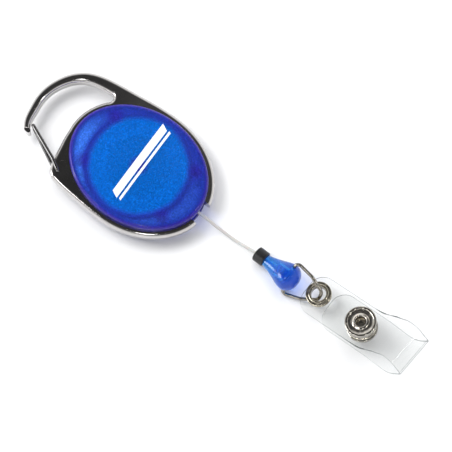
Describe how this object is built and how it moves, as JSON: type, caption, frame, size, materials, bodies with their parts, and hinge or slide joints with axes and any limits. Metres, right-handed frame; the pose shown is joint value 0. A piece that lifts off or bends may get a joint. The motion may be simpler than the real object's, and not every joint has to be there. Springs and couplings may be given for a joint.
{
  "type": "retractable badge reel",
  "caption": "Retractable badge reel: oval translucent case in a metal carabiner frame with a wire gate, pull cord, teardrop bob and a clear snap strap.",
  "frame": {"origin": "the spool's axis at the case's flat back face", "axes": "+Y towards the hook, -Y towards the cord and strap, +Z out of the printed front"},
  "size_m": [0.043, 0.1509, 0.0175],
  "materials": {
    "carabiner_frame": "glossy black chrome",
    "front_cover": "translucent blue, gloss",
    "rear_cover": "translucent blue, gloss",
    "gate_wire": "dark plated wire",
    "spool": "white, satin",
    "power_spring": "blued spring steel",
    "cord_coil": "wound nylon cord",
    "cord_lead": "nylon cord",
    "cord": "nylon cord",
    "cord_knot": "nylon cord",
    "stop_collar": "black, satin",
    "bob": "translucent blue, gloss",
    "bail_wire": "nickel plated",
    "eyelet": "nickel plated",
    "eyelet_washer": "nickel plated",
    "strap_upper": "clear vinyl",
    "strap_flap": "clear vinyl",
    "snap_cap": "nickel plated",
    "snap_socket": "nickel plated",
    "snap_stud": "nickel plated",
    "snap_post": "nickel plated"
  },
  "bodies": {
    "case": {"carabiner_frame": "carabiner_frame", "front_cover": "front_cover", "rear_cover": "rear_cover", "cord_lead": "cord_lead"},
    "gate": {"gate_wire": "gate_wire"},
    "spool": {"spool": "spool", "cord_coil": "cord_coil", "power_spring": "power_spring"},
    "cord_end": {"cord": "cord", "cord_knot": "cord_knot", "stop_collar": "stop_collar"},
    "bob": {"bob": "bob"},
    "bail": {"bail_wire": "bail_wire"},
    "strap": {"eyelet": "eyelet", "eyelet_washer": "eyelet_washer", "strap_upper": "strap_upper", "snap_cap": "snap_cap", "snap_socket": "snap_socket"},
    "flap": {"strap_flap": "strap_flap", "snap_stud": "snap_stud", "snap_post": "snap_post"}
  },
  "joints": [
    {"name": "cord_pull", "type": "slide", "parent": "case", "child": "cord_end", "axis": [0, -1, 0], "range_m": [-0.0222, 0.7], "stiffness_N_per_m": 1.5, "deforming": ["cord"]},
    {"name": "spool_spin", "type": "hinge", "parent": "case", "child": "spool", "pos_m": [0, 0, 0.006], "axis": [0, 0, 1], "range_deg": [-3000, 96], "deforming": ["power_spring"]},
    {"name": "gate_swing", "type": "hinge", "parent": "case", "child": "gate", "pos_m": [-0.0163, 0.0209, 0.006], "axis": [0, 0, -1], "range_deg": [0, 26], "stiffness_Nm_per_rad": 0.02},
    {"name": "bob_swivel", "type": "hinge", "parent": "cord_end", "child": "bob", "pos_m": [0.00016, -0.05143, 0.00388], "axis": [-0.0687, -0.9824, 0.1736], "continuous": true},
    {"name": "bail_swing", "type": "hinge", "parent": "bob", "child": "bail", "pos_m": [-0.0005, -0.06096, 0.00556], "axis": [0.6765, 0.0821, 0.7319], "range_deg": [-60, 60]},
    {"name": "strap_swing", "type": "hinge", "parent": "bail", "child": "strap", "pos_m": [0.00021, -0.07282, 0.00623], "axis": [0.6765, 0.0821, 0.7319], "range_deg": [0, 42]},
    {"name": "flap_open", "type": "hinge", "parent": "strap", "child": "flap", "pos_m": [-0.00075, -0.10873, 0.0143], "axis": [-0.9994, 0.0349, 0], "range_deg": [0, 150], "stiffness_Nm_per_rad": 0.001}
  ],
  "couplings": [
    {"joint": "spool_spin", "follows": "cord_pull", "rad_per_m": -74.627}
  ]
}
